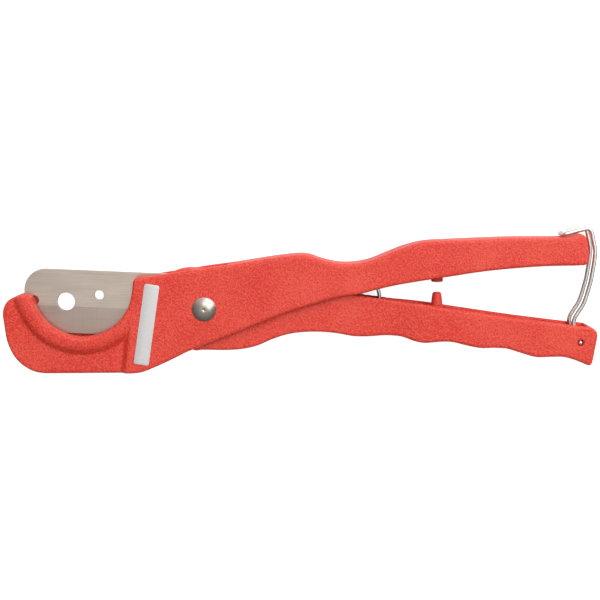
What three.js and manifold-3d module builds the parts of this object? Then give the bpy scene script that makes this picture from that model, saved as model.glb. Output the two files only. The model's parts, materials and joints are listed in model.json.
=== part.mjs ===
// PVC pipe cutter, lying on its back. Millimetres, +Z up, +X from the pivot towards the handles' ends.
// The origin is on the pivot axis, in the plane that the tool lies on.
import * as THREE from 'three';
import { mergeVertices } from 'three/addons/utils/BufferGeometryUtils.js';
import Module from 'manifold-3d';

const wasm = await Module();
wasm.setup();

// ---- driving dimensions ----
const THICKNESS = 17;
const MID = THICKNESS / 2;
const CHEEK = 3;
const HEAD_HALF = 5.1;
const EDGE_ROUND = 0.9;
const WEB_RECESS = 2.5;

const JAW = { x: -55.5, y: 10, r: 23, foot: 31 };
const HEAD = { r: 20, roomR: 21.5, crestRoomR: 23.8 };

const BLADE = { tilt: 2.34, thick: 1.8, tip: 82.6, top: 14.7, edge: -14.4, bevel: -2.1, corner: 9.6 };
const BLADE_HOLES = { far: 63.5, keyAlong: 48.5, keyUp: 3.6, end: 78.1, pivotR: 4.1, keyR: 2.2 };
const BLADE_SLOT = { half: 1.2, sweepR: 85, under: 0.9, back: 20.6 };
const EDGE_LAND = 0.08;

const SLEEVE_R = 4;
const SHANK_R = 3;
const BOLT_HEAD = { r: 5.4, rise: 2.1, dimpleR: 0.8, dimple: 0.5 };
const FLANGE = { r: 6.5, thick: 1.5 };
const WASHER = { r: 9, thick: 0.3 };
const RUN_FIT = 0.05;
const LOOSE_FIT = 0.15;

const CHANNEL = { start: 34, headHalf: 3.95, gripHalf: 6.4, end: 173.9 };
const WIDENING = { start: 80, end: 104 };
const STOP = { x: 105.6, bumper: 11.6, root: 30, peg: 7, r: 2.7, tipR: 2.1, foot: -13, footR: 3.2 };

const CLOSING = 2.4;
const SPRING = { x: 72, y: 5, r: 7.4, wire: 1.5, pitch: 1.6, turns: 1.4, tips: 46, spread: 8 };
const SEAT = { half: 3.35, wide: 3.4, deep: 11, frameX: 44.9, frameY: 11.4, handleX: 46.1, handleY: -6.4 };
const LATCH = { x: 170.1, y: -15.4, wire: 2, half: 5.15, holeR: 1.4, stub: 2.8, bend: 0.9 };
const LABEL = { x: -26, y: -7.1, wide: 6.8, long: 36.8, turn: -8.5, corner: 1, thick: 0.25 };

// ---- materials ----
const paint = (color, roughness, metalness) => (
  new THREE.MeshStandardMaterial({ color, roughness, metalness })
);
const COATING = paint(0xe5534a, 0.55, 0.05);
const HANDLE_COATING = paint(0xe6554a, 0.55, 0.05);
const BLADE_STEEL = paint(0xb8a99f, 0.35, 0.9);
const BOLT_STEEL = paint(0xb9b3ac, 0.25, 0.95);
const WIRE_STEEL = paint(0xc9c4bd, 0.3, 0.9);
const WASHER_BRONZE = paint(0xa98d5c, 0.45, 0.8);
const LABEL_FOIL = paint(0xdbd7d4, 0.5, 0.2);

// ---- small helpers ----
const radians = THREE.MathUtils.degToRad;
const v2 = ([x, y]) => new THREE.Vector2(x, y);
const curve = (points, steps) => new THREE.SplineCurve(points.map(v2)).getPoints(steps);

function arc(x, y, r, from, to, steps) {
  const points = [];
  for (let i = 0; i <= steps; i++) {
    const a = radians(from + ((to - from) * i) / steps);
    points.push(new THREE.Vector2(x + r * Math.cos(a), y + r * Math.sin(a)));
  }
  return points;
}

// joins stretches of points into one closed outline, without points that repeat
function outline(...stretches) {
  const points = stretches.flat().map((p) => (Array.isArray(p) ? v2(p) : p));
  const clean = points.filter((p, i) => p.distanceTo(points[(i + 1) % points.length]) > 0.02);
  return new THREE.Shape(clean);
}

function solid(geometry) {
  const bare = geometry.index ? geometry.toNonIndexed() : geometry.clone();
  for (const name of Object.keys(bare.attributes)) {
    if (name !== 'position') bare.deleteAttribute(name);
  }
  const merged = mergeVertices(bare, 1e-4);
  const mesh = new wasm.Mesh({
    numProp: 3,
    vertProperties: new Float32Array(merged.attributes.position.array),
    triVerts: new Uint32Array(merged.index.array),
  });
  return new wasm.Manifold(mesh);
}

// a plate of the given outline between two heights, with its edges rounded by a bevel
function plate(shape, low, high, bevel = 0) {
  const geometry = new THREE.ExtrudeGeometry(shape, {
    depth: high - low - 2 * bevel,
    bevelEnabled: bevel > 0,
    bevelThickness: bevel,
    bevelSize: bevel,
    bevelOffset: -bevel,
    bevelSegments: 1,
  });
  geometry.translate(0, 0, low + bevel);
  return solid(geometry);
}

const disc = (x, y, r, low, high, steps = 32) => plate(outline(arc(x, y, r, 0, 360, steps)), low, high);
const slab = (half) => [MID - half, MID + half];

function box(x0, y0, z0, x1, y1, z1) {
  const geometry = new THREE.BoxGeometry(x1 - x0, y1 - y0, z1 - z0);
  geometry.translate((x0 + x1) / 2, (y0 + y1) / 2, (z0 + z1) / 2);
  return solid(geometry);
}

// a solid of revolution about +Z from a profile of [radius, height], which starts and ends on the axis
function turned(profile, steps = 32) {
  const geometry = new THREE.LatheGeometry(profile.map(v2), steps);
  geometry.rotateX(Math.PI / 2);
  return solid(geometry);
}

// a round wire along a path
function wire(path, steps, diameter, sides = 10) {
  const section = new THREE.Shape(arc(0, 0, diameter / 2, 0, 360, sides).slice(0, -1));
  return solid(new THREE.ExtrudeGeometry(section, { extrudePath: path, steps }));
}

function node(name, body, material) {
  const { vertProperties, triVerts } = body.getMesh();
  const geometry = new THREE.BufferGeometry();
  geometry.setAttribute('position', new THREE.BufferAttribute(vertProperties, 3));
  geometry.setIndex(new THREE.BufferAttribute(triVerts, 1));
  geometry.computeVertexNormals();
  const mesh = new THREE.Mesh(geometry, material);
  mesh.name = name;
  return mesh;
}

// a point given along and across the blade's own axis, in the tool's frame
function onBlade(along, up) {
  const t = radians(BLADE.tilt);
  return new THREE.Vector2(
    -along * Math.cos(t) + up * Math.sin(t),
    along * Math.sin(t) + up * Math.cos(t),
  );
}

// ---- outlines of the frame casting ----
const jawTip = curve([[-78.1, 5.3], [-79.3, 6.1], [-81.8, 6.2], [-84.4, 5.7], [-87, 4.8], [-89.4, 3.2],
  [-91, 0.5], [-91.6, -3], [-91, -8], [-90.1, -14.2], [-88.2, -19.6], [-85.2, -24.1], [-81, -27.5],
  [-76.8, -29.3], [-72.5, -29.9]], 36);
const plateFoot = curve([[-33.5, -29.6], [-29, -29.1], [-24.5, -27.5], [-19.5, -25.3], [-14, -22.7]], 8);
const frameBelly = curve([[-8.2, -19.7], [7.5, -13.5], [23.4, -7.2], [37.4, -1.6], [51.9, 2.9], [61, 5.4],
  [70.2, 6.7], [77.7, 8.7], [85.5, 10.5], [96.2, 12.4], [110.6, 14.6], [124.9, 16.8], [139.3, 18.3],
  [153.6, 19.3], [168, 19.6]], 44);
const frameEnd = curve([[171, 19.7], [172.7, 20.7], [172.9, 22.4], [173, 24.6], [172.7, 27.6],
  [172, 31.2], [170.9, 33.2], [169.2, 33.7], [167.6, 33], [165.6, 32.1]], 16);
const frameBack = curve([[160.5, 32.1], [139, 32], [124, 31.5], [110.4, 30.9], [102, 30.5], [96.1, 29.6],
  [88.9, 27.5], [81.8, 24.6], [74.6, 21.8], [67.5, 20.5], [60.3, 20.6], [53.1, 22.2], [48, 24],
  [43.5, 24.5], [36, 23.8], [28, 22.7], [13.6, 20.4], [2, 18.8], [-12, 16.6], [-24.1, 14.7]], 56);
const plateCorner = curve([[-29.4, 14.4], [-31.2, 13.6], [-32.1, 11.9], [-32.4, 8.8]], 6);
const cradle = arc(JAW.x, JAW.y, JAW.r, 353, 195, 36);
const frameOutline = outline(jawTip, plateFoot, frameBelly, frameEnd, frameBack, plateCorner, cradle);

// the ceiling of the upper handle's channel, a spine's thickness under its back
const channelCeiling = curve([[12, 17.3], [28, 19.4], [43.5, 21.2], [53, 19.2], [63, 17.4], [72, 18.2],
  [81.8, 21.4], [92, 25.2], [102, 27.2], [124, 28.3], [150, 28.8], [169.6, 28.8]], 36);

// ---- outlines of the blade handle ----
const handleGrip = curve([[-1.5, -19.2], [2, -19.2], [9, -19.3], [16.2, -18.9], [23.4, -17.4],
  [30.6, -14.3], [37.8, -12], [45.2, -11], [53, -10.95], [60, -11.6], [67.5, -12.9], [74.5, -13],
  [82, -12.5], [89.2, -12.9], [94.5, -14.7], [99.5, -15.6], [107.1, -15], [112.5, -15.2], [119, -16.8],
  [125.1, -17.9], [131, -17.8], [137, -18.2], [143, -20], [150, -22], [157.5, -21.9], [163, -22],
  [168.3, -23.5]], 76);
const handleEnd = curve([[174, -26], [175.6, -24.8], [176.8, -18.5], [177.8, -12], [176.6, -9.4],
  [173.8, -8]], 14);
const handleRim = curve([[168.5, -7.6], [154, -5.8], [138.5, -3.8], [118, -0.8], [100, 1.9], [84, 4.1],
  [70.2, 6], [58, 7.8], [44, 9.6], [30, 12.2], [21, 14.4]], 26);
const headCrest = curve([[14, 15.6], [10, 16.6], [4, 17.4], [-2, 17.9], [-7, 18.1], [-10.5, 17.7],
  [-14, 16.5], [-16.2, 14.9], [-18.1, 11.5], [-19.3, 6.5]], 16);
const headArc = arc(0, 0, HEAD.r, 168, 258, 14);
const handleOutline = outline(handleGrip, handleEnd, handleRim, headCrest, headArc);

// the floor of the lower handle's channel, a spine's thickness over its grip
const channelFloor = curve([[34, -8.6], [46, -7], [54, -7], [62, -8.2], [74, -9.3], [86, -9.2], [96, -11.8],
  [108, -11.6], [122, -14.2], [136, -14.9], [150, -18.3], [162, -18.6], [172.2, -21.2]], 36);

// ---- the frame casting ----
// what the blade sweeps between the cheeks, from fully closed upwards, with some room under its edge
function bladeSlot() {
  const { half, sweepR, under } = BLADE_SLOT;
  const drop = BLADE.edge - under;
  const closed = (p) => p.rotateAround(new THREE.Vector2(), radians(CLOSING));
  const tipEnd = closed(onBlade(sweepR - 3, drop));
  const tailEnd = closed(onBlade(-HEAD.r, drop));
  const start = THREE.MathUtils.radToDeg(tipEnd.angle());
  return plate(outline([tailEnd, tipEnd], arc(0, 0, sweepR, start, 128, 18), [[0, 90]]), ...slab(half));
}

// the flat web outside the cradle's raised lip, sunk into both faces, and ending in a step before the plate
function webRecess(low, high) {
  const foot = arc(JAW.x, JAW.y, JAW.foot, 317, 192, 24);
  return plate(outline(foot, [[-96, 4], [-96, -33], [-36.2, -33]]), low, high);
}

// room between the cheeks for the handle's head, with more where its crest swings
function headRoom() {
  const under = [[172, 0], [60, -30], [-2, -40]];
  const around = arc(0, 0, HEAD.roomR, 251, 156, 18);
  const overCrest = arc(0, 0, HEAD.crestRoomR, 155, 72, 16);
  return outline(channelCeiling, [[169.6, 18]], under, around, overCrest);
}

function frameCasting() {
  let body = plate(frameOutline, 0, THICKNESS, EDGE_ROUND);
  body = body.subtract(webRecess(THICKNESS - WEB_RECESS, THICKNESS + 1));
  body = body.subtract(webRecess(-1, WEB_RECESS));
  body = body.subtract(bladeSlot());
  body = body.subtract(plate(headRoom(), ...slab(MID - CHEEK)));
  const bumper = disc(STOP.x, 0, STOP.r, -STOP.root, -STOP.bumper, 20).rotate([90, 0, 0]);
  body = body.add(bumper.translate([0, 0, MID]));
  body = body.add(seat(SEAT.frameX, SEAT.frameY, SEAT.frameY + SEAT.deep));
  body = body.subtract(disc(0, 0, SLEEVE_R + RUN_FIT, -1, THICKNESS + 1));
  return body.subtract(disc(0, 0, FLANGE.r + LOOSE_FIT, -1, FLANGE.thick + LOOSE_FIT));
}

// a rib that a leg of the return spring rests against
function seat(x, y0, y1) {
  return box(x - SEAT.wide / 2, y0, MID - SEAT.half, x + SEAT.wide / 2, y1, MID + SEAT.half);
}

// ---- the blade handle casting ----
// a body through the whole height of the tool, whose plan is the half widths at each x, on both sides
function widthsAlong(halves) {
  const mirrored = halves.map(([x, half]) => [x, -half]).reverse();
  return plate(outline(halves, mirrored), -50, 50).rotate([90, 0, 0]).translate([0, 0, MID]);
}

// thin between the frame's cheeks, then swelling to the full thickness
function handleSides() {
  const { start, end } = WIDENING;
  const swell = [];
  for (const part of [0, 0.17, 0.35, 0.5, 0.65, 0.83, 1]) {
    const share = part * part * (3 - 2 * part);
    swell.push([start + (end - start) * part, HEAD_HALF + (MID - HEAD_HALF) * share]);
  }
  return widthsAlong([[-30, HEAD_HALF], ...swell, [190, MID]]);
}

function handleChannel() {
  const { start, headHalf, gripHalf, end } = CHANNEL;
  const hollow = plate(outline(channelFloor, [[end, -20], [end, 40], [start, 40]]), 0, THICKNESS);
  const widths = [[start, headHalf], [WIDENING.start, headHalf], [WIDENING.end, gripHalf], [end, gripHalf]];
  return hollow.intersect(widthsAlong(widths));
}

function stopPeg() {
  const high = STOP.peg;
  const profile = [[0, STOP.foot], [STOP.footR, STOP.foot], [STOP.r, 1], [STOP.tipR, high - 0.6],
    [STOP.tipR - 0.6, high], [0, high]];
  return turned(profile, 20).rotate([-90, 0, 0]).translate([STOP.x, 0, MID]);
}

function handleCasting() {
  let body = plate(handleOutline, 0, THICKNESS, EDGE_ROUND).intersect(handleSides());
  body = body.subtract(handleChannel());
  body = body.subtract(box(-30, -30, MID - BLADE_SLOT.half, BLADE_SLOT.back, 30, MID + BLADE_SLOT.half));
  body = body.add(stopPeg());
  body = body.add(seat(SEAT.handleX, SEAT.handleY - 2.1, SEAT.handleY));
  body = body.subtract(disc(0, 0, SLEEVE_R + RUN_FIT, -1, THICKNESS + 1));
  for (const p of keyPlaces()) {
    body = body.subtract(disc(p.x, p.y, BLADE_HOLES.keyR, -1, THICKNESS + 1, 24));
  }
  return body.subtract(disc(LATCH.x, LATCH.y, LATCH.holeR, -1, THICKNESS + 1, 16));
}

// ---- the blade and what holds it ----
const keyPlaces = () => [
  onBlade(BLADE_HOLES.far - BLADE_HOLES.keyAlong, BLADE_HOLES.keyUp),
  onBlade(BLADE_HOLES.far - BLADE_HOLES.end, 0),
];

function blade() {
  const { tip, top, edge, corner, bevel, thick } = BLADE;
  const tail = BLADE_HOLES.far - tip;
  const corners = [[tip - corner, top - corner, 0], [tail + corner, top - corner, 90],
    [tail + corner, edge + corner, 180], [tip - corner, edge + corner, 270]];
  const shape = outline(...corners.map(([x, y, from]) => arc(x, y, corner, from, from + 90, 8)));
  const { far, keyAlong, keyUp, end, pivotR, keyR } = BLADE_HOLES;
  const holes = [[far, 0, pivotR], [0, 0, pivotR], [keyAlong, keyUp, keyR], [far - keyAlong, keyUp, keyR],
    [end, 0, keyR], [far - end, 0, keyR]];
  let body = plate(shape, -thick / 2, thick / 2);
  for (const [x, y, r] of holes) {
    body = body.subtract(disc(x, y, r, -thick, thick, 24));
  }
  const wedge = outline([[top, thick / 2], [bevel, thick / 2], [edge, EDGE_LAND], [edge, -EDGE_LAND],
    [bevel, -thick / 2], [top, -thick / 2]]);
  body = body.intersect(plate(wedge, -tip * 2, tip * 2).rotate([90, 0, 90]));
  return body.mirror([1, 0, 0]).rotate([0, 0, -BLADE.tilt]).translate([0, 0, MID]);
}

const keyPin = (p) => disc(p.x, p.y, BLADE_HOLES.keyR - RUN_FIT, ...slab(HEAD_HALF - LOOSE_FIT), 24);

// ---- the pivot ----
function pivotBolt() {
  const { r, rise, dimpleR, dimple } = BOLT_HEAD;
  const dome = [];
  for (let i = 0; i <= 6; i++) {
    const x = r - ((r - dimpleR) * i) / 6;
    dome.push([x, THICKNESS + 0.5 + (rise - 0.5) * (1 - (x / r) ** 2)]);
  }
  const neck = THICKNESS - CHEEK;
  return turned([[0, 0], [SHANK_R, 0], [SHANK_R, neck], [SLEEVE_R, neck], [SLEEVE_R, THICKNESS + 0.02],
    [r, THICKNESS + 0.02], ...dome, [0, THICKNESS + rise - dimple]]);
}

function pivotSleeveNut() {
  const top = THICKNESS - CHEEK - RUN_FIT;
  const outer = turned([[0, 0], [FLANGE.r, 0], [FLANGE.r, FLANGE.thick], [SLEEVE_R, FLANGE.thick],
    [SLEEVE_R, top], [0, top]]);
  return outer.subtract(disc(0, 0, SHANK_R + RUN_FIT, -1, THICKNESS));
}

function thrustWasher(low) {
  const ring = disc(0, 0, WASHER.r, low, low + WASHER.thick);
  return ring.subtract(disc(0, 0, SLEEVE_R + LOOSE_FIT, low - 1, low + 1));
}

// ---- the return spring ----
// Half of the coil, from its middle to one side (side 1 is the front), and the leg that leaves it.
function springHalf(side) {
  const { x, y, r, pitch, turns, wire: wireD, tips, spread } = SPRING;
  const middle = Math.atan2(y, x);
  const tipAngle = middle + side * radians(spread);
  const tip = new THREE.Vector2(tips * Math.cos(tipAngle), tips * Math.sin(tipAngle));
  const centre = new THREE.Vector2(x, y);
  const toTip = Math.atan2(tip.y - y, tip.x - x);
  const lift = Math.acos(r / tip.distanceTo(centre));
  const leave = toTip - side * lift;
  const points = [];
  const steps = Math.round(turns * 14);
  for (let i = 0; i <= steps; i++) {
    const part = i / steps;
    const a = leave - side * (1 - part) * turns * 2 * Math.PI;
    const z = MID + side * (wireD / 2 + 0.05 + part * pitch * (turns - 0.02));
    points.push(new THREE.Vector3(x + r * Math.cos(a), y + r * Math.sin(a), z));
  }
  const last = points[points.length - 1];
  for (const part of [0.35, 0.7, 1]) {
    points.push(last.clone().lerp(new THREE.Vector3(tip.x, tip.y, last.z), part));
  }
  return wire(new THREE.CatmullRomCurve3(points, false, 'centripetal'), steps + 6, wireD, 8);
}

// ---- the latch ----
function latchWire() {
  const { x, y, wire: wireD, half, stub, bend } = LATCH;
  const run = [[162, 33.45], [167.4, 35], [172.6, 36.2], [174.2, 35.4], [174.8, 33.4], [176.2, 26],
    [175.6, 20.6], [174.35, 12.5], [172.5, 4.6], [171.3, 1.4], [167.8, -4], [167, -6.6], [168.4, -11.6],
    [x, y + 1.2]];
  const near = run.map(([px, py]) => new THREE.Vector3(px, py, MID + half));
  const far = run.map(([px, py]) => new THREE.Vector3(px, py, MID - half)).reverse();
  const atHole = (height) => new THREE.Vector3(x, y, MID + height);
  const points = [atHole(-half - stub), atHole(-half - bend), ...far, ...near, atHole(half + bend),
    atHole(half + stub)];
  return wire(rounded(points, 1), points.length * 3, wireD, 8);
}

// a path of straight runs whose corners are rounded over the given length
function rounded(points, length) {
  const path = new THREE.CurvePath();
  let from = points[0];
  for (let i = 1; i < points.length - 1; i++) {
    const share = (other) => Math.min(0.45, length / points[i].distanceTo(other));
    const towards = (other) => points[i].clone().lerp(other, share(other));
    path.add(new THREE.LineCurve3(from, towards(points[i - 1])));
    from = towards(points[i + 1]);
    path.add(new THREE.QuadraticBezierCurve3(towards(points[i - 1]), points[i], from));
  }
  path.add(new THREE.LineCurve3(from, points[points.length - 1]));
  return path;
}

function label() {
  const { wide, long, corner, thick, turn, x, y } = LABEL;
  const [w, h] = [wide / 2 - corner, long / 2 - corner];
  const shape = outline(arc(w, h, corner, 0, 90, 4), arc(-w, h, corner, 90, 180, 4),
    arc(-w, -h, corner, 180, 270, 4), arc(w, -h, corner, 270, 360, 4));
  return plate(shape, 0.02, thick).rotate([0, 0, turn]).translate([x, y, THICKNESS]);
}

const cutter = new THREE.Group();
cutter.add(
  node('frame', frameCasting(), COATING),
  node('blade_handle', handleCasting(), HANDLE_COATING),
  node('cutting_blade', blade(), BLADE_STEEL),
  node('blade_pin_outer', keyPin(keyPlaces()[0]), BOLT_STEEL),
  node('blade_pin_inner', keyPin(keyPlaces()[1]), BOLT_STEEL),
  node('pivot_bolt', pivotBolt(), BOLT_STEEL),
  node('pivot_sleeve_nut', pivotSleeveNut(), BOLT_STEEL),
  node('thrust_washer_front', thrustWasher(MID + HEAD_HALF + RUN_FIT), WASHER_BRONZE),
  node('thrust_washer_back', thrustWasher(MID - HEAD_HALF - RUN_FIT - WASHER.thick), WASHER_BRONZE),
  node('return_spring_front', springHalf(1), WIRE_STEEL),
  node('return_spring_back', springHalf(-1), WIRE_STEEL),
  node('latch_wire', latchWire(), WIRE_STEEL),
  node('name_label', label(), LABEL_FOIL),
);

export default cutter;
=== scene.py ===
"""PVC pipe cutter: the looks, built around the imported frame.

Shapes are worked out in millimetres in the part's own frame, and turned into metres when a mesh is made.
The two castings are surfaces of distance fields, so that their edges and feet have the round of a casting.
"""

import json
import math

import bpy
import numpy as np
from mathutils import Matrix, Vector


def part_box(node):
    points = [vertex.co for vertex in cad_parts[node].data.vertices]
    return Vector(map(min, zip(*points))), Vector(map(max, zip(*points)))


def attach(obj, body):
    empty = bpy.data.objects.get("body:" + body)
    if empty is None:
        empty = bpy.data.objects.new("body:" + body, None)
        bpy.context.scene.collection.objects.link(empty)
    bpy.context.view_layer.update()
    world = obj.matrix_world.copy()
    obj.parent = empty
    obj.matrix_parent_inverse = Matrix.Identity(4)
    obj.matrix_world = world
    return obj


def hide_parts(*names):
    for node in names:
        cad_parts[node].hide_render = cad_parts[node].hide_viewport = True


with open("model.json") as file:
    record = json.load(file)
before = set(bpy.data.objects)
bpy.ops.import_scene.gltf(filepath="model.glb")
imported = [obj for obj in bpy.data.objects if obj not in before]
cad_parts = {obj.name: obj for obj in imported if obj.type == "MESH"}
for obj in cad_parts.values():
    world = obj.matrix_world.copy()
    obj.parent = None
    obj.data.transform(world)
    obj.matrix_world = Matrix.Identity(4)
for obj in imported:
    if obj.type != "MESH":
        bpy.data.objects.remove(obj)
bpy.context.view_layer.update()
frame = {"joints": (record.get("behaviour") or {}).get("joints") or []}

MM = 0.001
joints = {j["name"]: j for j in frame["joints"]}


def node_box(node):
    low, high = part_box(node)
    return np.array(low) / MM, np.array(high) / MM


# ---- sizes that come from the frame ----
body_low, body_high = node_box("frame")
HALF = (body_high[2] - body_low[2]) / 2
MID = (body_high[2] + body_low[2]) / 2
TOP = body_high[2]
blade_low, blade_high = node_box("cutting_blade")
BLADE_HALF = (blade_high[2] - blade_low[2]) / 2
LATCH_X, LATCH_Y = (v / MM for v in joints["latch_pivot"]["pos_m"][:2])
COIL_X, COIL_Y = (v / MM for v in joints["spring_flex"]["pos_m"][:2])
TIP_X, TIP_Y = (v / MM for v in joints["spring_swing"]["pos_m"][:2])
CLOSING = -joints["handle_pivot"]["range_deg"][0]

# ---- sizes of the castings ----
CHEEK = 3.0
WEB_HALF = 6.0
HEAD_HALF = 5.1
EDGE = 1.5
RIM = 0.5
JAW = (-55.5, 10.0, 23.0)
LIP_CREST, LIP_TOP, LIP_FOOT = 25.6, 28.2, 31.0
STEP_TOP, STEP_FOOT, STEP_WIDE = (-33.4, -8.0), (-36.1, -32.0), 2.3
HEAD_R, ROOM_R, CREST_ROOM_R = 20.0, 21.5, 23.8
BLADE_SLOT_HALF, BLADE_SWEEP_R, BLADE_SLOT_BACK = 1.2, 85.0, 20.6
SLEEVE_R = 4.0
SLEEVE_HOLE_R = SLEEVE_R + 0.05
FLANGE_SEAT_R, FLANGE_SEAT_DEEP = 6.65, 1.6
LIP_CURVE = 0.05
STOP_X, BUMPER_Y, BUMPER_BACK = 105.6, 11.6, 30
PEG_TOP, PEG_FOOT, PEG_R, PEG_TIP_R = 7.0, -13, 2.7, 2.0
WIDENING_START, WIDENING_END = 80.0, 104.0
HEAD_CHANNEL_HALF, GRIP_CHANNEL_HALF, HANDLE_INSIDE_END = 3.95, 6.4, 173.9
SEAT_HALF, SEAT_WIDE_HALF, SEAT_FRAME_X, SEAT_HANDLE_X = 3.35, 1.7, 44.9, 46.1
FRAME_SEAT_Y, HANDLE_SEAT_Y = (11.4, 22.4), (-8.5, -6.4)
LATCH_HOLE_R = 1.4

# ---- sizes of the blade ----
BLADE_TILT = math.radians(2.34)
BLADE_TIP, BLADE_BACK, BLADE_EDGE, BLADE_BEVEL, BLADE_CORNER = 82.6, 14.7, -14.4, -2.1, 9.6
FAR_HOLE, KEY_ALONG, KEY_UP, END_HOLE = 63.5, 48.5, 3.6, 78.1
PIVOT_HOLE_R, KEY_HOLE_R = 4.1, 2.2
BLADE_LAND, BLADE_CHAMFER = 0.08, 0.12

# ---- sizes of the spring, the latch and the label ----
SPRING_R, SPRING_WIRE_R, SPRING_PITCH, SPRING_TURNS = 7.4, 0.75, 1.6, 1.4
LATCH_HALF, LATCH_STUB, LATCH_BEND, LATCH_WIRE_R = 5.15, 7.95, 0.9, 1.0
LABEL_TURN = math.radians(8.5)
LABEL_WIDE, LABEL_LONG, LABEL_CORNER = 6.8, 36.8, 1.0

# ---- how finely the castings are meshed ----
GRID = 0.45

# ---- the sky's light: axis, then where it starts and ends, then its strength at each ----
SKY = [("Z", 0.0, 1.0, 0.03, 0.52), ("Y", 0.2, 1.0, 0.0, 0.9)]


# ---- outlines ----
def spline(points, steps):
    """Points along a Catmull-Rom curve through the given points."""
    p = np.array([points[0], *points, points[-1]], float)
    made = []
    for s in np.linspace(0, len(points) - 1, steps + 1):
        i = min(int(s), len(points) - 2)
        t = s - i
        a, b, c, d = p[i : i + 4]
        v0, v1 = (c - a) / 2, (d - b) / 2
        made.append((2 * b - 2 * c + v0 + v1) * t**3 + (3 * c - 3 * b - 2 * v0 - v1) * t**2 + v0 * t + b)
    return np.array(made)


def arc(x, y, r, start, end, steps):
    a = np.radians(np.linspace(start, end, steps + 1))
    return np.stack([x + r * np.cos(a), y + r * np.sin(a)], 1)


def outline(*stretches):
    """One closed outline from stretches of points, without points that repeat."""
    p = np.concatenate([np.atleast_2d(np.array(s, float)) for s in stretches])
    return p[np.linalg.norm(p - np.roll(p, -1, 0), axis=1) > 0.02]


def on_blade(along, up):
    """A point given along and across the blade's own axis, in the tool's frame."""
    c, s = math.cos(BLADE_TILT), math.sin(BLADE_TILT)
    return -along * c + up * s, along * s + up * c


JAW_TIP = [(-78.1, 5.3), (-79.3, 6.1), (-81.8, 6.2), (-84.4, 5.7), (-87, 4.8), (-89.4, 3.2), (-91, 0.5),
           (-91.6, -3), (-91, -8), (-90.1, -14.2), (-88.2, -19.6), (-85.2, -24.1), (-81, -27.5),
           (-76.8, -29.3), (-72.5, -29.9)]
PLATE_FOOT = [(-33.5, -29.6), (-29, -29.1), (-24.5, -27.5), (-19.5, -25.3), (-14, -22.7)]
FRAME_BELLY = [(-8.2, -19.7), (7.5, -13.5), (23.4, -7.2), (37.4, -1.6), (51.9, 2.9), (61, 5.4), (70.2, 6.7),
               (77.7, 8.7), (85.5, 10.5), (96.2, 12.4), (110.6, 14.6), (124.9, 16.8), (139.3, 18.3),
               (153.6, 19.3), (168, 19.6)]
FRAME_END = [(171, 19.7), (172.7, 20.7), (172.9, 22.4), (173, 24.6), (172.7, 27.6), (172, 31.2),
             (170.9, 33.2), (169.2, 33.7), (167.6, 33), (165.6, 32.1)]
FRAME_BACK = [(160.5, 32.1), (139, 32), (124, 31.5), (110.4, 30.9), (102, 30.5), (96.1, 29.6), (88.9, 27.5),
              (81.8, 24.6), (74.6, 21.8), (67.5, 20.5), (60.3, 20.6), (53.1, 22.2), (48, 24), (43.5, 24.5),
              (36, 23.8), (28, 22.7), (13.6, 20.4), (2, 18.8), (-12, 16.6), (-24.1, 14.7)]
PLATE_CORNER = [(-29.4, 14.4), (-31.2, 13.6), (-32.1, 11.9), (-32.4, 8.8)]
CHANNEL_CEILING = [(12, 17.3), (28, 19.4), (43.5, 21.2), (53, 19.2), (63, 17.4), (72, 18.2), (81.8, 21.4),
                   (92, 25.2), (102, 27.2), (124, 28.3), (150, 28.8), (169.6, 28.8)]
HANDLE_GRIP = [(-1.5, -19.2), (2, -19.2), (9, -19.3), (16.2, -18.9), (23.4, -17.4), (30.6, -14.3),
               (37.8, -12), (45.2, -11), (53, -10.95), (60, -11.6), (67.5, -12.9), (74.5, -13),
               (82, -12.5), (89.2, -12.9), (94.5, -14.7), (99.5, -15.6), (107.1, -15), (112.5, -15.2),
               (119, -16.8), (125.1, -17.9), (131, -17.8), (137, -18.2), (143, -20), (150, -22),
               (157.5, -21.9), (163, -22), (168.3, -23.5)]
HANDLE_END = [(174, -26), (175.6, -24.8), (176.8, -18.5), (177.8, -12), (176.6, -9.4), (173.8, -8)]
HANDLE_RIM = [(168.5, -7.6), (154, -5.8), (138.5, -3.8), (118, -0.8), (100, 1.9), (84, 4.1), (70.2, 6),
              (58, 7.8), (44, 9.6), (30, 12.2), (21, 14.4)]
HEAD_CREST = [(14, 15.6), (10, 16.6), (4, 17.4), (-2, 17.9), (-7, 18.1), (-10.5, 17.7), (-14, 16.5),
              (-16.2, 14.9), (-18.1, 11.5), (-19.3, 6.5)]
CHANNEL_FLOOR = [(34, -8.6), (46, -7), (54, -7), (62, -8.2), (74, -9.3), (86, -9.2), (96, -11.8),
                 (108, -11.6), (122, -14.2), (136, -14.9), (150, -18.3), (162, -18.6), (172.2, -21.2)]
LATCH_RUN = [(162, 33.45), (167.4, 35), (172.6, 36.2), (174.2, 35.4), (174.8, 33.4), (176.4, 26),
             (175.9, 20.6), (174.65, 12.5), (172.5, 4.6), (171.3, 1.4), (167.8, -4), (167, -6.6),
             (168.4, -11.6), (LATCH_X, LATCH_Y + 1.2)]

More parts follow.
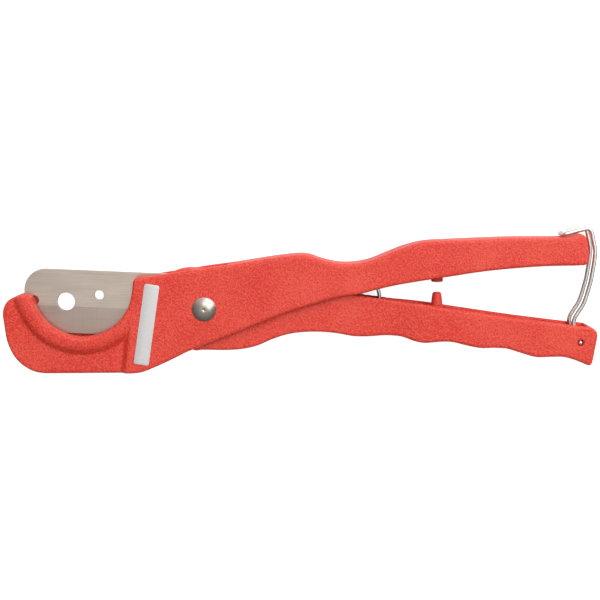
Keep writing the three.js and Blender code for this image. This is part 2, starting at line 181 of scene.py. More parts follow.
FRAME_OUTLINE = outline(spline(JAW_TIP, 60), spline(PLATE_FOOT, 16), spline(FRAME_BELLY, 70),
                        spline(FRAME_END, 40), spline(FRAME_BACK, 90), spline(PLATE_CORNER, 14),
                        arc(*JAW, 353, 195, 70))
FRAME_CHANNEL = outline(spline(CHANNEL_CEILING, 60), [(169.6, 18), (172, 0), (60, -30), (-2, -40)],
                        arc(0, 0, ROOM_R, 251, 156, 30), arc(0, 0, CREST_ROOM_R, 155, 72, 30))
HANDLE_OUTLINE = outline(spline(HANDLE_GRIP, 110), spline(HANDLE_END, 30), spline(HANDLE_RIM, 50),
                         spline(HEAD_CREST, 40), arc(0, 0, HEAD_R, 168, 258, 30))
HANDLE_HOLLOW = outline(spline(CHANNEL_FLOOR, 60),
                        [(HANDLE_INSIDE_END, -20), (HANDLE_INSIDE_END, 40), (34, 40)])


def blade_slot_outline():
    """What the blade sweeps, from fully closed upwards, with some room under its edge."""
    turn = math.radians(CLOSING)
    low = []
    for along in (BLADE_SWEEP_R - 3, -HEAD_R):
        x, y = on_blade(along, BLADE_EDGE - 0.9)
        low.append((x * math.cos(turn) - y * math.sin(turn), x * math.sin(turn) + y * math.cos(turn)))
    start = math.degrees(math.atan2(low[0][1], low[0][0])) % 360
    return outline([low[1]], [low[0]], arc(0, 0, BLADE_SWEEP_R, start, 128, 40), [(0, 90)])


# ---- distance fields ----
def soft_max(a, b, r):
    """The larger of two fields, rounded over r where they meet."""
    return np.maximum(a, b) + np.maximum(r - np.abs(a - b), 0) ** 2 / (4 * r)


def soft_min(a, b, r):
    return -soft_max(-a, -b, r)


def polygon_distance(points, x, y):
    """Distance to a closed outline, negative inside it."""
    best = np.full(x.shape, 1e9, np.float32)
    inside = np.zeros(x.shape, bool)
    for (ax, ay), (bx, by) in zip(points, np.roll(points, -1, 0)):
        ex, ey = bx - ax, by - ay
        wx, wy = x - ax, y - ay
        t = np.clip((wx * ex + wy * ey) / (ex * ex + ey * ey), 0, 1)
        best = np.minimum(best, (wx - ex * t) ** 2 + (wy - ey * t) ** 2)
        if ay != by:
            inside ^= ((ay <= y) != (by <= y)) & (x < ex * (y - ay) / ey + ax)
    return np.where(inside, -1, 1) * np.sqrt(best)


def line_distance(x, y, a, b):
    """Distance to the right of the line from a down to b."""
    ux, uy = b[0] - a[0], b[1] - a[1]
    return ((y - a[1]) * ux - (x - a[0]) * uy) / math.hypot(ux, uy)


class Field:
    """A grid of points around a casting: flat x and y, and the height from the middle plane."""

    def __init__(self, low, high, step):
        low, high = np.array(low, float) - 2 * step, np.array(high, float) + 2 * step
        self.step, self.low = step, low
        counts = np.ceil((high - low) / step).astype(int) + 1
        x, y, z = (low[i] + step * np.arange(counts[i], dtype=np.float32) for i in range(3))
        self.x, self.y = np.meshgrid(x, y, indexing="ij")
        self.x3, self.y3, self.z3 = self.x[..., None], self.y[..., None], (z - MID)[None, None]
        self.up = np.abs(self.z3)

    def hole(self, x, y, r):
        return np.hypot(self.x - x, self.y - y)[..., None] - r

    def post(self, x, r):
        """A round post along Y, whose radius may vary."""
        return np.hypot(self.x3 - x, self.z3) - r

    def seat(self, x, low, high):
        """The rib that a leg of the return spring rests against."""
        rib = np.maximum(np.abs(self.x3 - x) - SEAT_WIDE_HALF, self.up - SEAT_HALF)
        return soft_max(rib, np.maximum(low - self.y3, self.y3 - high), 0.6)


def surface(name, field, values):
    """The surface where the values pass through zero, as a closed mesh of quads: surface nets."""
    step, low = field.step, field.low
    shape = np.array(values.shape)
    total = np.zeros((*(shape - 1), 3), np.float32)
    count = np.zeros(shape - 1, np.int8)
    edges = []
    for axis in range(3):
        u, v = (axis + 1) % 3, (axis + 2) % 3
        a = values.take(range(shape[axis] - 1), axis)
        b = values.take(range(1, shape[axis]), axis)
        cross = (a < 0) != (b < 0)
        t = np.where(cross, a / np.where(cross, a - b, 1), 0)
        edges.append((np.argwhere(cross), a[cross] >= 0))
        for du in (0, 1):
            for dv in (0, 1):
                part = [slice(None)] * 3
                part[u] = slice(du, du + shape[u] - 1)
                part[v] = slice(dv, dv + shape[v] - 1)
                here = cross[tuple(part)]
                count += here
                total[..., axis] += t[tuple(part)]
                total[..., u] += here * du
                total[..., v] += here * dv
    cells = np.argwhere(count > 0)
    index = np.full(shape - 1, -1, np.int32)
    index[tuple(cells.T)] = np.arange(len(cells))
    points = cells + total[tuple(cells.T)] / count[tuple(cells.T)][:, None]
    quads = []
    for axis, (at, flip) in enumerate(edges):
        u, v = (axis + 1) % 3, (axis + 2) % 3
        du, dv = np.eye(3, dtype=int)[u], np.eye(3, dtype=int)[v]
        corners = [index[tuple((at - o).T)] for o in (du + dv, dv, 0 * du, du)]
        quad = np.stack(corners, 1)
        quad[flip] = quad[flip][:, ::-1]
        quads.append(quad)
    return mesh_object(name, points * step + low, np.concatenate(quads))


# ---- meshes ----
def mesh_object(name, points, faces, smooth=True):
    """A mesh from points in millimetres and faces as lists or rows of point numbers."""
    mesh = bpy.data.meshes.new(name)
    mesh.from_pydata((np.array(points) * MM).tolist(), [], [list(map(int, f)) for f in faces])
    if smooth:
        mesh.shade_smooth()
    else:
        mesh.shade_flat()
    made = bpy.data.objects.new(name, mesh)
    bpy.context.scene.collection.objects.link(made)
    return made


def apply_modifiers(piece):
    """Keeps the mesh that the piece's modifiers make, and drops the modifiers."""
    seen = piece.evaluated_get(bpy.context.evaluated_depsgraph_get())
    mesh = bpy.data.meshes.new_from_object(seen)
    piece.modifiers.clear()
    piece.data = mesh
    return piece


def cut(piece, cutter):
    """Takes the cutter away from the piece, and removes the cutter."""
    modifier = piece.modifiers.new("cut", "BOOLEAN")
    modifier.operation, modifier.solver, modifier.object = "DIFFERENCE", "EXACT", cutter
    apply_modifiers(piece)
    bpy.data.objects.remove(cutter)
    return piece


def lathe(name, profile, x=0.0, y=0.0, steps=96):
    """A closed solid of revolution about a vertical axis from a profile of (radius, height)."""
    points, faces, rings = [], [], []
    for r, z in profile:
        if r < 1e-6:
            rings.append([len(points)] * steps)
            points.append((x, y, z))
        else:
            rings.append(list(range(len(points), len(points) + steps)))
            a = np.linspace(0, 2 * math.pi, steps, endpoint=False)
            points += [(x + r * math.cos(t), y + r * math.sin(t), z) for t in a]
    closed = profile[0][0] > 1e-6
    pairs = list(zip(rings, rings[1:] + rings[:1] if closed else rings[1:]))
    for low, high in pairs:
        for i in range(steps):
            k = (i + 1) % steps
            face = [low[i], low[k], high[k], high[i]]
            faces.append(list(dict.fromkeys(face)))
    return mesh_object(name, points, faces)


def rounded_profile(profile, r, steps=4):
    """A profile whose inner corners are rounded by r, or less where a side is short."""
    p = [np.array(q, float) for q in profile]
    made = [p[0]]
    for a, b, c in zip(p, p[1:], p[2:]):
        back, on = a - b, c - b
        reach = min(r, 0.45 * np.linalg.norm(back), 0.45 * np.linalg.norm(on))
        start = b + back / np.linalg.norm(back) * reach
        end = b + on / np.linalg.norm(on) * reach
        for t in np.linspace(0, 1, steps + 1):
            made.append((1 - t) ** 2 * start + 2 * t * (1 - t) * b + t * t * end)
    return [tuple(q) for q in [*made, p[-1]]]


def tube(name, path, r, sides=20):
    """A round wire along a path of points, with slightly rounded ends."""
    p = np.array(path, float)
    along = np.gradient(p, axis=0)
    along /= np.linalg.norm(along, axis=1)[:, None]
    side = np.cross(along[0], (0, 0, 1) if abs(along[0][2]) < 0.9 else (1, 0, 0))
    a = np.linspace(0, 2 * math.pi, sides, endpoint=False)
    ends = [(0, 0.55), (0.3, 0.9)]
    rings = []
    for i, (at, t) in enumerate(zip(p, along)):
        side = side - t * side.dot(t)
        side /= np.linalg.norm(side)
        other = np.cross(t, side)
        ring = np.cos(a)[:, None] * side + np.sin(a)[:, None] * other
        if i == 0:
            rings += [at - t * (0.3 - back) + ring * r * wide for back, wide in ends]
        if 0 < i < len(p) - 1:
            rings.append(at + ring * r)
        if i == len(p) - 1:
            rings += [at + t * (0.3 - back) + ring * r * wide for back, wide in reversed(ends)]
    points = np.concatenate(rings)
    faces = []
    for n in range(len(rings) - 1):
        for i in range(sides):
            k = (i + 1) % sides
            faces.append([n * sides + i, n * sides + k, (n + 1) * sides + k, (n + 1) * sides + i])
    faces.append(list(range(sides))[::-1])
    faces.append(list(range(len(points) - sides, len(points))))
    return mesh_object(name, points, faces)


def rounded_path(points, length, steps=6):
    """Straight runs whose corners are rounded over a length, with points no further apart than that."""
    p = [np.array(q, float) for q in points]
    made = [p[0]]
    for a, b, c in zip(p, p[1:], p[2:]):
        start = b + (a - b) * min(0.45, length / np.linalg.norm(a - b))
        end = b + (c - b) * min(0.45, length / np.linalg.norm(c - b))
        for t in np.linspace(0, 1, steps + 1):
            made.append((1 - t) ** 2 * start + 2 * t * (1 - t) * b + t * t * end)
    made.append(p[-1])
    return made


def plate_mesh(name, points, low, high, bevel, holes=()):
    """A flat plate with bevelled edges from an outline, with round holes as (x, y, r)."""
    loops = [np.array(points)] + [arc(x, y, r, 0, 360, 48)[:-1] for x, y, r in holes]
    curve = bpy.data.curves.new(name, "CURVE")
    curve.dimensions, curve.fill_mode = "2D", "BOTH"
    for loop in loops:
        line = curve.splines.new("POLY")
        line.points.add(len(loop) - 1)
        line.points.foreach_set("co", np.c_[loop, np.zeros(len(loop)), np.ones(len(loop))].ravel() * MM)
        line.use_cyclic_u = True
    curve.extrude = ((high - low) / 2 - bevel) * MM
    curve.bevel_depth, curve.offset, curve.bevel_resolution = bevel * MM, -bevel * MM, 1
    made = bpy.data.objects.new(name, curve)
    bpy.context.scene.collection.objects.link(made)
    mesh = bpy.data.meshes.new_from_object(made.evaluated_get(bpy.context.evaluated_depsgraph_get()))
    bpy.data.objects.remove(made)
    piece = bpy.data.objects.new(name, mesh)
    bpy.context.scene.collection.objects.link(piece)
    mesh.transform(Matrix.Translation((0, 0, (low + high) / 2 * MM)))
    weld = piece.modifiers.new("weld", "WELD")
    weld.merge_threshold = 2e-6
    return apply_modifiers(piece)


def shade_by_angle(piece, degrees):
    """Smooth shading that keeps edges sharper than the angle."""
    mesh = piece.data
    mesh.shade_smooth()
    mesh.set_sharp_from_angle(angle=math.radians(degrees))
    return piece


# ---- materials ----
class Look:
    """A node material with a Principled shader, whose textures are set in millimetres on the piece."""

    def __init__(self, name, color, roughness, metallic=0.0, **values):
        self.material = bpy.data.materials.new(name)
        self.material.use_nodes = True
        self.tree = self.material.node_tree
        self.shader = self.tree.nodes["Principled BSDF"]
        self.set("Base Color", (*color, 1))
        self.set("Roughness", roughness)
        self.set("Metallic", metallic)
        for key, value in values.items():
            self.set(key.replace("_", " "), value)
        self.place = self.node("ShaderNodeTexCoord").outputs["Object"]

    def node(self, kind, **settings):
        made = self.tree.nodes.new(kind)
        for key, value in settings.items():
            setattr(made, key, value)
        return made

    def set(self, socket, value):
        self.shader.inputs[socket].default_value = value

    def link(self, a, b):
        self.tree.links.new(a, b)

    def scaled(self, x, y, z, turn=0.0):
        """The place on the piece in millimetres, turned about Z and scaled."""
        turned = self.node("ShaderNodeMapping", vector_type="POINT")
        turned.inputs["Rotation"].default_value = (0, 0, turn)
        turned.inputs["Scale"].default_value = (1 / MM, 1 / MM, 1 / MM)
        self.link(self.place, turned.inputs["Vector"])
        made = self.node("ShaderNodeMapping", vector_type="POINT")
        made.inputs["Scale"].default_value = (x, y, z)
        self.link(turned.outputs[0], made.inputs["Vector"])
        return made.outputs[0]

    def noise(self, place, scale, detail=3.0, roughness=0.5, distortion=0.0):
        made = self.node("ShaderNodeTexNoise")
        made.inputs["Scale"].default_value = scale
        made.inputs["Detail"].default_value = detail
        made.inputs["Roughness"].default_value = roughness
        made.inputs["Distortion"].default_value = distortion
        self.link(place, made.inputs["Vector"])
        return made.outputs["Fac"]

    def cells(self, place, scale):
        made = self.node("ShaderNodeTexVoronoi", feature="SMOOTH_F1")
        made.inputs["Scale"].default_value = scale
        self.link(place, made.inputs["Vector"])
        return made.outputs["Distance"]

    def ramp(self, value, low, high, to_low, to_high):
        made = self.node("ShaderNodeMapRange")
        made.inputs["From Min"].default_value = low
        made.inputs["From Max"].default_value = high
        made.inputs["To Min"].default_value = to_low
        made.inputs["To Max"].default_value = to_high
        self.link(value, made.inputs["Value"])
        return made.outputs["Result"]

    def math(self, operation, *values):
        made = self.node("ShaderNodeMath", operation=operation)
        for socket, value in zip(made.inputs, values):
            if isinstance(value, (int, float)):
                socket.default_value = value
            else:
                self.link(value, socket)
        return made.outputs[0]

    def colors(self, fac, *stops):
        made = self.node("ShaderNodeValToRGB")
        ramp = made.color_ramp
        while len(ramp.elements) < len(stops):
            ramp.elements.new(0.5)
        for element, (at, color) in zip(ramp.elements, stops):
            element.position, element.color = at, (*color, 1)
        self.link(fac, made.inputs["Fac"])
        return made.outputs["Color"]

    def color(self, output):
        self.link(output, self.shader.inputs["Base Color"])

    def roughness(self, output):
        self.link(output, self.shader.inputs["Roughness"])

    def bump(self, height, distance):
        made = self.node("ShaderNodeBump")
        made.inputs["Distance"].default_value = distance * MM
        made.inputs["Strength"].default_value = 1.0
        self.link(height, made.inputs["Height"])
        self.link(made.outputs["Normal"], self.shader.inputs["Normal"])


def coating():
    """Red wrinkle coating: crinkles less than a millimetre apart, with a painted highlight paler on their
    crests and painted shade darker in their troughs; a broad blotch adds uneven tone.
    """
    look = Look("red_wrinkle_coating", (0.72, 0.02, 0.012), 0.38, Specular_IOR_Level=0.5)
    place = look.scaled(1, 1, 1)
    crinkle = look.noise(place, 1.6, 3.0, 0.6, 1.2)
    pits = look.cells(place, 1.5)
    height = look.math("ADD", crinkle, look.math("MULTIPLY", pits, 0.6))
    blotch = look.noise(place, 0.05, 2.0)
    shade = look.math("ADD", height, look.math("MULTIPLY", blotch, 0.3))
    # colour follows the crinkles' height: the pale pink crests are a painted highlight, the darker troughs
    # are painted shade, and the blotch is uneven tone of the coat
    look.color(look.colors(shade, (0.5, (0.60, 0.012, 0.006)), (0.8, (0.72, 0.022, 0.010)),
                           (1.0, (0.84, 0.085, 0.05))))
    look.roughness(look.ramp(crinkle, 0.3, 0.7, 0.30, 0.46))
    look.bump(height, 0.3)
    return look.material


def blade_steel():
    """Ground steel: fine lines along the blade, and a darker bevel with faint marks across it."""
    look = Look("ground_blade_steel", (0.5, 0.42, 0.36), 0.36, 1.0)
    lines = look.noise(look.scaled(0.02, 5, 1, BLADE_TILT), 1.6, 5.0, 0.7)
    across = look.noise(look.scaled(2.2, 0.05, 1, BLADE_TILT), 1.0, 3.0, 0.6)
    place = look.node("ShaderNodeSeparateXYZ")
    look.link(look.scaled(1, 1, 1, BLADE_TILT), place.inputs[0])
    bevel = look.ramp(place.outputs["Y"], BLADE_BEVEL + 0.1, BLADE_BEVEL - 0.1, 0, 1)
    marks = look.math("ADD", lines, look.math("MULTIPLY", across, look.math("MULTIPLY", bevel, 0.25)))
    patch = look.math("MULTIPLY", look.noise(look.scaled(0.4, 1, 1, BLADE_TILT), 0.12, 2.0), 0.3)
    shade = look.math("ADD", marks, patch)
    steel = look.colors(shade, (0.5, (0.46, 0.39, 0.33)), (0.85, (0.72, 0.62, 0.54)))
    mix = look.node("ShaderNodeMix", data_type="RGBA", blend_type="MULTIPLY")
    look.link(bevel, mix.inputs["Factor"])
    look.link(steel, mix.inputs["A"])
    mix.inputs["B"].default_value = (0.7, 0.66, 0.66, 1)
    look.color(mix.outputs["Result"])
    look.roughness(look.ramp(marks, 0.2, 0.8, 0.3, 0.42))
    look.bump(marks, 0.012)
    return look.material


def plated_steel(name, color, roughness):
    """Smooth steel with a faint cloud in its shine."""
    look = Look(name, color, roughness, 1.0)
    cloud = look.noise(look.scaled(1, 1, 1), 0.8, 4.0, 0.6)
    look.roughness(look.ramp(cloud, 0.3, 0.7, roughness * 0.75, roughness * 1.3))
    look.bump(look.noise(look.scaled(1, 1, 1), 5, 2.0), 0.012)
    return look.material


def drawn_wire(name, color, roughness):
    """Bright wire with faint draw marks and tiny pits."""
    look = Look(name, color, roughness, 1.0)
    pits = look.noise(look.scaled(1, 1, 1), 3.5, 4.0, 0.7)
    dark = tuple(0.7 * c for c in color)
    look.color(look.colors(pits, (0.3, dark), (0.6, color)))
    look.roughness(look.ramp(pits, 0.3, 0.7, roughness * 0.7, roughness * 1.4))
    look.bump(pits, 0.015)
    return look.material


def foil():
    """Plain silver foil with nothing printed on it."""
    look = Look("silver_label_foil", (0.70, 0.69, 0.68), 0.38, 0.35)
    grain = look.noise(look.scaled(1, 1, 1), 2.5, 3.0)
    look.color(look.colors(grain, (0.3, (0.62, 0.61, 0.60)), (0.7, (0.74, 0.73, 0.72))))
    look.roughness(look.ramp(grain, 0.3, 0.7, 0.32, 0.46))
    return look.material


# ---- the castings ----
def frame_casting():
    low, high = node_box("frame")
    f = Field(low, high, GRID)
    around = np.hypot(f.x - JAW[0], f.y - JAW[1])
    rise = HALF - WEB_HALF
    flank = WEB_HALF + rise * (LIP_FOOT - around) / (LIP_FOOT - LIP_TOP)
    lip = soft_min(flank, HALF - LIP_CURVE * (around - LIP_CREST) ** 2, 0.5)
    step = line_distance(f.x, f.y, STEP_TOP, STEP_FOOT) + STEP_WIDE
    plate = soft_min(WEB_HALF + rise * step / STEP_WIDE, np.full_like(step, HALF), 0.4)
    height = soft_max(soft_max(lip, plate, 0.6), np.full_like(step, WEB_HALF), 0.35)
    height = np.minimum(height, HALF)
    side = polygon_distance(FRAME_OUTLINE, f.x, f.y)
    body = soft_max(side[..., None], f.up - height[..., None], EDGE)
    ceiling = polygon_distance(FRAME_CHANNEL, f.x, f.y)[..., None]
    body = soft_max(body, -soft_max(ceiling, f.up - (HALF - CHEEK), 1.2), RIM)
    slot = polygon_distance(blade_slot_outline(), f.x, f.y)[..., None]
    body = soft_max(body, -np.maximum(slot, f.up - BLADE_SLOT_HALF), RIM)
    bumper = soft_max(f.post(STOP_X, PEG_R), np.maximum(BUMPER_Y - f.y3, f.y3 - BUMPER_BACK), 0.6)
    body = soft_min(body, bumper, 0.8)
    body = soft_min(body, f.seat(SEAT_FRAME_X, *FRAME_SEAT_Y), 0.6)
    body = np.maximum(body, -f.hole(0, 0, SLEEVE_HOLE_R))
    sunk = np.maximum(f.hole(0, 0, FLANGE_SEAT_R), f.z3 + HALF - FLANGE_SEAT_DEEP)
    body = soft_max(body, -sunk, 0.3)
    return surface("frame_casting", f, body)


def handle_casting():
    low, high = node_box("blade_handle")
    f = Field(low, high, GRID)
    t = np.clip((f.x3 - WIDENING_START) / (WIDENING_END - WIDENING_START), 0, 1)
    wide = HEAD_HALF + (HALF - HEAD_HALF) * t * t * (3 - 2 * t)
    side = polygon_distance(HANDLE_OUTLINE, f.x, f.y)[..., None]
    body = soft_max(side, f.up - wide, EDGE)
    room = HEAD_CHANNEL_HALF + (GRIP_CHANNEL_HALF - HEAD_CHANNEL_HALF) * t
    floor = polygon_distance(HANDLE_HOLLOW, f.x, f.y)[..., None]
    body = soft_max(body, -soft_max(floor, f.up - room, 1.2), RIM)
    body = soft_max(body, -np.maximum(f.up - BLADE_SLOT_HALF, f.x3 - BLADE_SLOT_BACK), 0.4)
    taper = (PEG_R - PEG_TIP_R) / (PEG_TOP - 1)
    peg = f.post(STOP_X, PEG_R - taper * (f.y3 - 1))
    peg = soft_max(soft_max(peg, f.y3 - PEG_TOP, 1.0), PEG_FOOT - f.y3, 0.5)
    body = soft_min(body, peg, 1.2)
    body = soft_min(body, f.seat(SEAT_HANDLE_X, *HANDLE_SEAT_Y), 0.6)
    body = np.maximum(body, -f.hole(0, 0, SLEEVE_HOLE_R))
    for x, y in key_places():
        body = np.maximum(body, -f.hole(x, y, KEY_HOLE_R))
    body = soft_max(body, -f.hole(LATCH_X, LATCH_Y, LATCH_HOLE_R), 0.5)
    return surface("blade_handle_casting", f, body)


# ---- the blade and its pins ----
def key_places():
    return [on_blade(FAR_HOLE - KEY_ALONG, KEY_UP), on_blade(FAR_HOLE - END_HOLE, 0)]


def blade():
    tail = FAR_HOLE - BLADE_TIP
    tip, back, edge, c = BLADE_TIP, BLADE_BACK, BLADE_EDGE, BLADE_CORNER
    corners = [(tip - c, back - c, 0), (tail + c, back - c, 90),
               (tail + c, edge + c, 180), (tip - c, edge + c, 270)]
    shape = outline(*[arc(x, y, c, start, start + 90, 40) for x, y, start in corners])
    holes = [(FAR_HOLE, 0, PIVOT_HOLE_R), (0, 0, PIVOT_HOLE_R)]
    for along, up in ((KEY_ALONG, KEY_UP), (END_HOLE, 0)):
        holes += [(along, up, KEY_HOLE_R), (FAR_HOLE - along, up, KEY_HOLE_R)]
    piece = plate_mesh("cutting_blade_ground", shape, -BLADE_HALF, BLADE_HALF, BLADE_CHAMFER, holes)
    slope = (BLADE_HALF - BLADE_LAND) / (BLADE_BEVEL - edge)
    for side in (1, -1):
        wedge = [(edge - 6, side * (BLADE_LAND - 6 * slope)), (edge - 6, side * 4),
                 (BLADE_BEVEL, side * 4), (BLADE_BEVEL, side * BLADE_HALF)]
        points = [(x, v, z) for x in (tail - 20, tip + 20) for v, z in wedge]
        faces = [(0, 1, 2, 3), (7, 6, 5, 4), (0, 4, 5, 1), (1, 5, 6, 2), (2, 6, 7, 3), (3, 7, 4, 0)]
        if side > 0:
            faces = [f[::-1] for f in faces]
        cut(piece, mesh_object("wedge", points, faces, smooth=False))
    mirrored = Matrix.Rotation(-BLADE_TILT, 4, "Z") @ Matrix.Scale(-1, 4, (1, 0, 0))
    piece.data.transform(Matrix.Translation((0, 0, MID * MM)) @ mirrored)
    piece.data.flip_normals()
    return shade_by_angle(piece, 3)


def key_pin(name, x, y):
    r, half = KEY_HOLE_R - 0.05, HEAD_HALF - 0.1
    profile = [(0, MID - half), (r, MID - half), (r, MID + half), (0, MID + half)]
    return lathe(name, rounded_profile(profile, 0.3, 2), x, y, 40)


# ---- the pivot ----
def pivot_bolt():
    _, high = node_box("pivot_bolt")
    r, top = high[0], high[2]
    dome = []
    for t in np.linspace(0, 1, 18):
        x = r * (1 - t) + 0.9 * t
        dome.append((x, TOP + 0.35 + (top - TOP - 0.35) * (1 - (x / r) ** 2.4)))
    dimple = [(0.72, top - 0.06), (0.5, top - 0.3), (0.25, top - 0.42), (0, top - 0.45)]
    neck = TOP - CHEEK
    shank = [(0, 0), (2.6, 0), (3, 0.4), (3, neck), (SLEEVE_R, neck), (SLEEVE_R, TOP + 0.02)]
    profile = [*shank, (r - 0.15, TOP + 0.02), (r, TOP + 0.15), *dome, *dimple]
    return shade_by_angle(lathe("pivot_bolt_domed", profile, steps=128), 50)


def sleeve_nut():
    _, high = node_box("pivot_sleeve_nut")
    r = high[0]
    flange = [(3.05, 0.3), (3.35, 0), (r - 0.25, 0), (r, 0.25), (r, 1.5)]
    profile = [*flange, (SLEEVE_R, 1.5), (SLEEVE_R, high[2]), (3.05, high[2])]
    piece = lathe("pivot_sleeve_nut_turned", profile, steps=96)
    for x in (-4.8, 4.8):
        cut(piece, lathe("spanner_hole", [(0, -1), (0.75, -1), (0.75, 0.9), (0, 1.1)], x, 0, 24))
    return shade_by_angle(piece, 35)


def thrust_washer(name, node):
    low, high = node_box(node)
    profile = [(4.15, low[2]), (high[0], low[2]), (high[0], high[2]), (4.15, high[2])]
    return shade_by_angle(lathe(name, profile, steps=64), 35)


# ---- wires ----
def spring_half(name, side):
    """Half of the torsion spring's coil, from its middle to one side (1 is the front), and its leg."""
    middle = math.atan2(COIL_Y, COIL_X)
    swing = middle + side * (math.atan2(TIP_Y, TIP_X) - middle)
    tip = math.hypot(TIP_X, TIP_Y) * np.array((math.cos(swing), math.sin(swing)))
    away = tip - (COIL_X, COIL_Y)
    leave = math.atan2(away[1], away[0]) - side * math.acos(SPRING_R / np.linalg.norm(away))
    points = []
    for part in np.linspace(0, 1, 60):
        a = leave - side * (1 - part) * SPRING_TURNS * 2 * math.pi
        z = MID + side * (SPRING_WIRE_R + 0.05 + part * SPRING_PITCH * (SPRING_TURNS - 0.02))
        points.append((COIL_X + SPRING_R * math.cos(a), COIL_Y + SPRING_R * math.sin(a), z))
    last = np.array(points[-1])
    for part in np.linspace(0.08, 1, 14):
        points.append((*(last[:2] + (tip - last[:2]) * part), last[2]))
    return tube(name, points, SPRING_WIRE_R, 16)


def latch_wire():
    """The bail: two strands along one run, joined at the top, with ends turned into the handle."""
    near = [(x, y, MID + LATCH_HALF) for x, y in LATCH_RUN]
    far = [(x, y, MID - LATCH_HALF) for x, y in reversed(LATCH_RUN)]
    ends = []
    for s in (-1, 1):
        reaches = (LATCH_STUB, LATCH_HALF + LATCH_BEND)
        ends.append([(LATCH_X, LATCH_Y, MID + s * reach) for reach in reaches])
    path = rounded_path([*ends[0], *far, *near, *ends[1][::-1]], 1.6, 8)
    return tube("latch_wire_bail", path, LATCH_WIRE_R, 24)


def name_label():
    low, high = node_box("name_label")
    x, y = (low[:2] + high[:2]) / 2
    w, h, c = LABEL_WIDE / 2 - LABEL_CORNER, LABEL_LONG / 2 - LABEL_CORNER, LABEL_CORNER
    corners = [(w, h, 0), (-w, h, 90), (-w, -h, 180), (w, -h, 270)]
    shape = outline(*[arc(cx, cy, c, start, start + 90, 10) for cx, cy, start in corners])
    piece = plate_mesh("name_label_foil", shape, low[2], high[2], 0.05)
    turn = Matrix.Rotation(-LABEL_TURN, 4, "Z")
    piece.data.transform(Matrix.Translation((x * MM, y * MM, 0)) @ turn)
    return shade_by_angle(piece, 30)


# ---- camera, light and floor ----
def camera():
    tilt, distance = math.radians(6.5), 600
    aim = np.array((43.2, 4.2, TOP))
    data = bpy.data.cameras.new("camera")
    data.sensor_width, data.lens = 36, 80
    data.clip_start, data.clip_end = 0.01, 20
    made = bpy.data.objects.new("camera", data)
    bpy.context.scene.collection.objects.link(made)
    made.location = (aim + distance * np.array((0, math.sin(tilt), math.cos(tilt)))) * MM
    made.rotation_euler = (-tilt, 0, 0)
    bpy.context.scene.camera = made


def area_light(name, place, aim, size, power):
    data = bpy.data.lights.new(name, "AREA")
    data.shape, data.size, data.size_y = "RECTANGLE", size[0], size[1]
    data.energy = power
    made = bpy.data.objects.new(name, data)
    bpy.context.scene.collection.objects.link(made)
    made.location = place
    made.rotation_euler = (Vector(aim) - Vector(place)).to_track_quat("-Z", "Y").to_euler()


def sky():
    """Soft light from above, weaker towards the horizon and stronger from behind the tool."""
    world = bpy.data.worlds.new("studio")
    bpy.context.scene.world = world
    world.use_nodes = True
    nodes, links = world.node_tree.nodes, world.node_tree.links
    place = nodes.new("ShaderNodeSeparateXYZ")
    links.new(nodes.new("ShaderNodeTexCoord").outputs["Generated"], place.inputs[0])
    parts = []
    for axis, low, high, to_low, to_high in SKY:
        part = nodes.new("ShaderNodeMapRange")
        part.inputs["From Min"].default_value, part.inputs["From Max"].default_value = low, high
        part.inputs["To Min"].default_value, part.inputs["To Max"].default_value = to_low, to_high
        links.new(place.outputs[axis], part.inputs["Value"])
        parts.append(part.outputs["Result"])
    total = nodes.new("ShaderNodeMath")
    for socket, part in zip(total.inputs, parts):
        links.new(part, socket)
    links.new(total.outputs[0], nodes["Background"].inputs["Strength"])
    nodes["Background"].inputs["Color"].default_value = (1, 0.99, 0.975, 1)


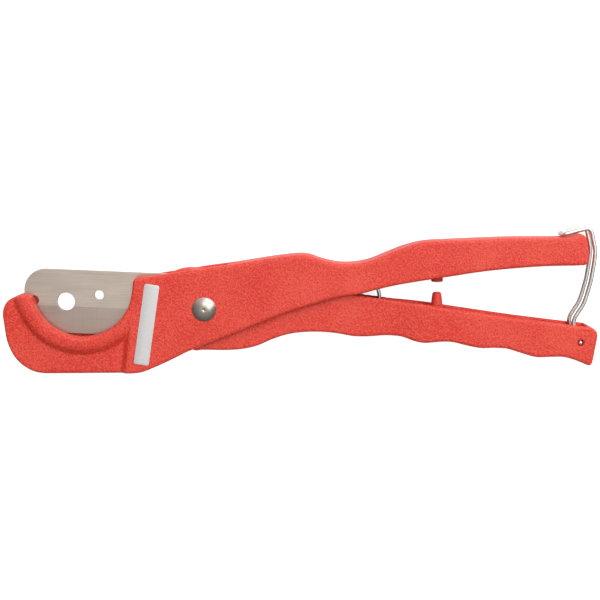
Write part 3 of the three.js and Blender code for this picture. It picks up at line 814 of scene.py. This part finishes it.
def floor():
    """A pale floor that reads as white: its glow is seen by the camera only, and lights nothing."""
    size = 6.0 / MM
    corners = [(-size, -size, 0), (size, -size, 0), (size, size, 0), (-size, size, 0)]
    made = mesh_object("floor", corners, [(0, 1, 2, 3)], smooth=False)
    look = Look("pale_floor", (0.85, 0.85, 0.85), 0.9, Specular_IOR_Level=0.0)
    grain = look.noise(look.scaled(1, 1, 1), 0.02, 2.0)
    look.color(look.colors(grain, (0.3, (0.84, 0.84, 0.84)), (0.7, (0.86, 0.86, 0.86))))
    look.set("Emission Color", (1, 1, 1, 1))
    seen = look.node("ShaderNodeLightPath").outputs["Is Camera Ray"]
    look.link(look.ramp(seen, 0, 1, 0.0, 0.8), look.shader.inputs["Emission Strength"])
    made.data.materials.append(look.material)
    return made


def studio():
    bpy.context.scene.view_settings.view_transform = "Standard"
    sky()
    area_light("key", (0.5, 0.6, 1.0), (0.045, 0, 0.01), (1.3, 1.3), 14.0)
    area_light("top", (-0.12, -0.13, 1.1), (0, 0, 0.01), (0.14, 0.14), 0.25)
    floor()


# ---- the whole tool ----
def add(piece, body, material, slot, *nodes):
    piece.data.materials.clear()
    piece.data.materials.append(material)
    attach(piece, body)
    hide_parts(*nodes)
    return piece


camera()
studio()
red = coating()
bright = plated_steel("plated_pivot_steel", (0.46, 0.41, 0.36), 0.3)
pin_steel = plated_steel("pin_steel", (0.5, 0.48, 0.46), 0.35)
wire_steel = drawn_wire("latch_wire_zinc", (0.78, 0.74, 0.71), 0.3)
spring_steel = drawn_wire("spring_wire_steel", (0.6, 0.59, 0.57), 0.3)
bronze = plated_steel("washer_bronze", (0.45, 0.33, 0.16), 0.4)

add(frame_casting(), "frame", red, "frame_coating", "frame")
add(handle_casting(), "blade_handle", red, "handle_coating", "blade_handle")
add(blade(), "blade_handle", blade_steel(), "blade_steel", "cutting_blade")
for pin, (x, y) in zip(("outer", "inner"), key_places()):
    made = key_pin(f"blade_pin_{pin}_ground", x, y)
    add(made, "blade_handle", pin_steel, "pivot_steel", f"blade_pin_{pin}")
add(pivot_bolt(), "frame", bright, "pivot_steel", "pivot_bolt")
add(sleeve_nut(), "frame", bright, "pivot_steel", "pivot_sleeve_nut")
for side in ("front", "back"):
    washer = thrust_washer(f"thrust_washer_{side}_turned", f"thrust_washer_{side}")
    add(washer, "frame", bronze, "washer_bronze", f"thrust_washer_{side}")
for half, side in (("front", 1), ("back", -1)):
    wire = spring_half(f"return_spring_wire_{half}", side)
    add(wire, f"spring_{half}", spring_steel, "spring_wire", f"return_spring_{half}")
add(latch_wire(), "latch", wire_steel, "latch_steel", "latch_wire")
add(name_label(), "frame", foil(), "label_foil", "name_label")
